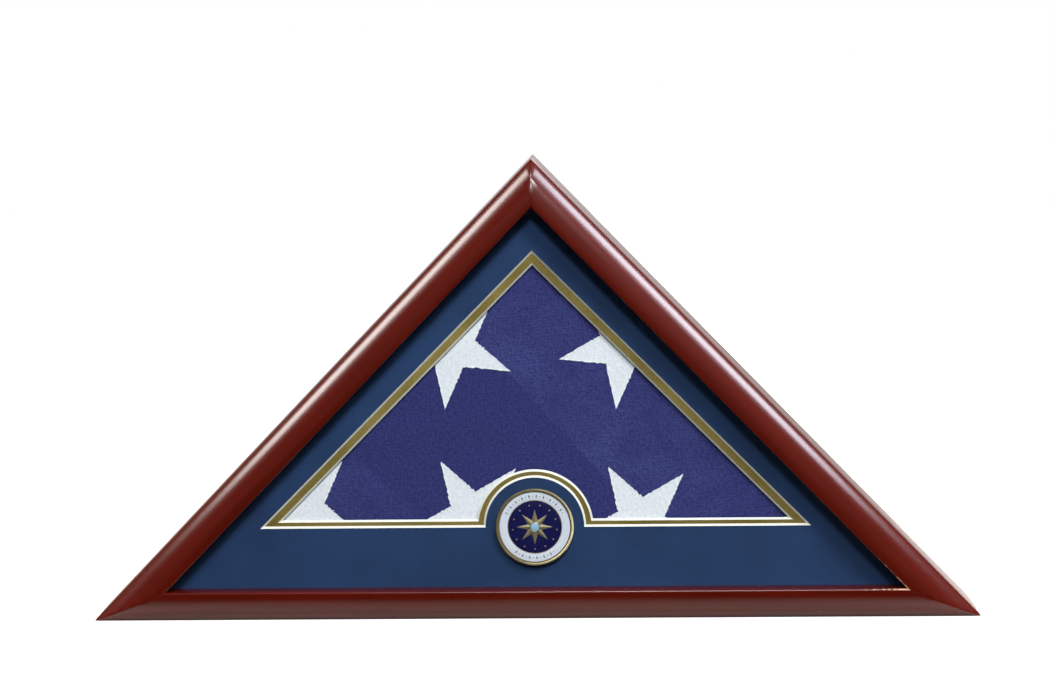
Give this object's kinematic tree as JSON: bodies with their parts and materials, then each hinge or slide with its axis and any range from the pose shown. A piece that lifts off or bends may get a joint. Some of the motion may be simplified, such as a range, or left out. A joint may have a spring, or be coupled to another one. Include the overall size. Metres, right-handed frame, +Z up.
{
  "type": "folded flag display case",
  "caption": "Triangular lacquered wooden case that shows a folded flag behind glass and two window mats, with a removable back panel.",
  "frame": {"origin": "middle of the base, on the surface the case stands on, half way between the front lip and the back edge of the woodwork", "axes": "+X to the viewer's right along the base, +Y from the glass to the back panel, +Z up to the peak"},
  "size_m": [0.648, 0.0882, 0.335],
  "materials": {
    "lacquered_wood": "gloss lacquer over a dark red mahogany stain",
    "stained_wood": "satin stain",
    "glass": "clear, polished",
    "blue_mat_board": "matt navy face paper with a white core",
    "gold_mat_board": "metallic gold face paper with a white core",
    "foam": "matt foam tape",
    "gilt_metal": "gilt, polished",
    "white_enamel": "gloss enamel",
    "navy_enamel": "gloss enamel",
    "navy_cotton": "brushed cotton weave",
    "white_embroidery": "satin-stitch embroidery",
    "hardboard": "smooth dark brown face",
    "brass_plate": "brass plate, lightly rubbed",
    "zinc_plate": "bright zinc plate"
  },
  "bodies": {
    "case": {"left_rail": "lacquered_wood", "right_rail": "lacquered_wood", "bottom_rail": "lacquered_wood", "left_board": "lacquered_wood", "right_board": "lacquered_wood", "bottom_board": "lacquered_wood", "glass_pane": "glass", "left_spacer": "stained_wood", "right_spacer": "stained_wood", "bottom_spacer": "stained_wood", "blue_mat": "blue_mat_board", "gold_mat": "gold_mat_board", "medallion_pad": "foam", "medallion_plate": "gilt_metal", "medallion_ring": "white_enamel", "medallion_field": "navy_enamel", "medallion_rosette": "gilt_metal", "folded_flag": "navy_cotton", "flag_stars": "white_embroidery", "turn_button_screws": "brass_plate", "left_hanger_strap": "zinc_plate", "right_hanger_strap": "zinc_plate", "hanger_screws": "zinc_plate", "corner_nails": "zinc_plate"},
    "back_panel": {"back_panel": "hardboard"},
    "turn_button_base_left": {"turn_button_base_left": "brass_plate"},
    "turn_button_base_right": {"turn_button_base_right": "brass_plate"},
    "turn_button_right_low": {"turn_button_right_low": "brass_plate"},
    "turn_button_right_high": {"turn_button_right_high": "brass_plate"},
    "turn_button_left_high": {"turn_button_left_high": "brass_plate"},
    "turn_button_left_low": {"turn_button_left_low": "brass_plate"},
    "left_hanger_ring": {"left_hanger_ring": "zinc_plate"},
    "right_hanger_ring": {"right_hanger_ring": "zinc_plate"}
  },
  "joints": [
    {"name": "back_panel_slide", "type": "slide", "parent": "case", "child": "back_panel", "axis": [0, 1, 0], "range_m": [0, 0.14]},
    {"name": "turn_button_base_left_turn", "type": "hinge", "parent": "case", "child": "turn_button_base_left", "pos_m": [-0.194, 0.0418, 0.0055], "axis": [0, -1, 0], "range_deg": [0, 90]},
    {"name": "turn_button_base_right_turn", "type": "hinge", "parent": "case", "child": "turn_button_base_right", "pos_m": [0.194, 0.0418, 0.0055], "axis": [0, -1, 0], "range_deg": [0, 90]},
    {"name": "turn_button_right_low_turn", "type": "hinge", "parent": "case", "child": "turn_button_right_low", "pos_m": [0.22967, 0.0418, 0.08962], "axis": [0, -1, 0], "range_deg": [0, 90]},
    {"name": "turn_button_right_high_turn", "type": "hinge", "parent": "case", "child": "turn_button_right_high", "pos_m": [0.10033, 0.0418, 0.22335], "axis": [0, -1, 0], "range_deg": [0, 90]},
    {"name": "turn_button_left_high_turn", "type": "hinge", "parent": "case", "child": "turn_button_left_high", "pos_m": [-0.10033, 0.0418, 0.22335], "axis": [0, -1, 0], "range_deg": [0, 90]},
    {"name": "turn_button_left_low_turn", "type": "hinge", "parent": "case", "child": "turn_button_left_low", "pos_m": [-0.22967, 0.0418, 0.08962], "axis": [0, -1, 0], "range_deg": [0, 90]},
    {"name": "left_ring_swing", "type": "hinge", "parent": "case", "child": "left_hanger_ring", "pos_m": [-0.05027, 0.0441, 0.27511], "axis": [0.7188, 0, -0.6952], "range_deg": [0, 175]},
    {"name": "right_ring_swing", "type": "hinge", "parent": "case", "child": "right_hanger_ring", "pos_m": [0.05027, 0.0441, 0.27511], "axis": [0.7188, 0, 0.6952], "range_deg": [0, 175]}
  ]
}
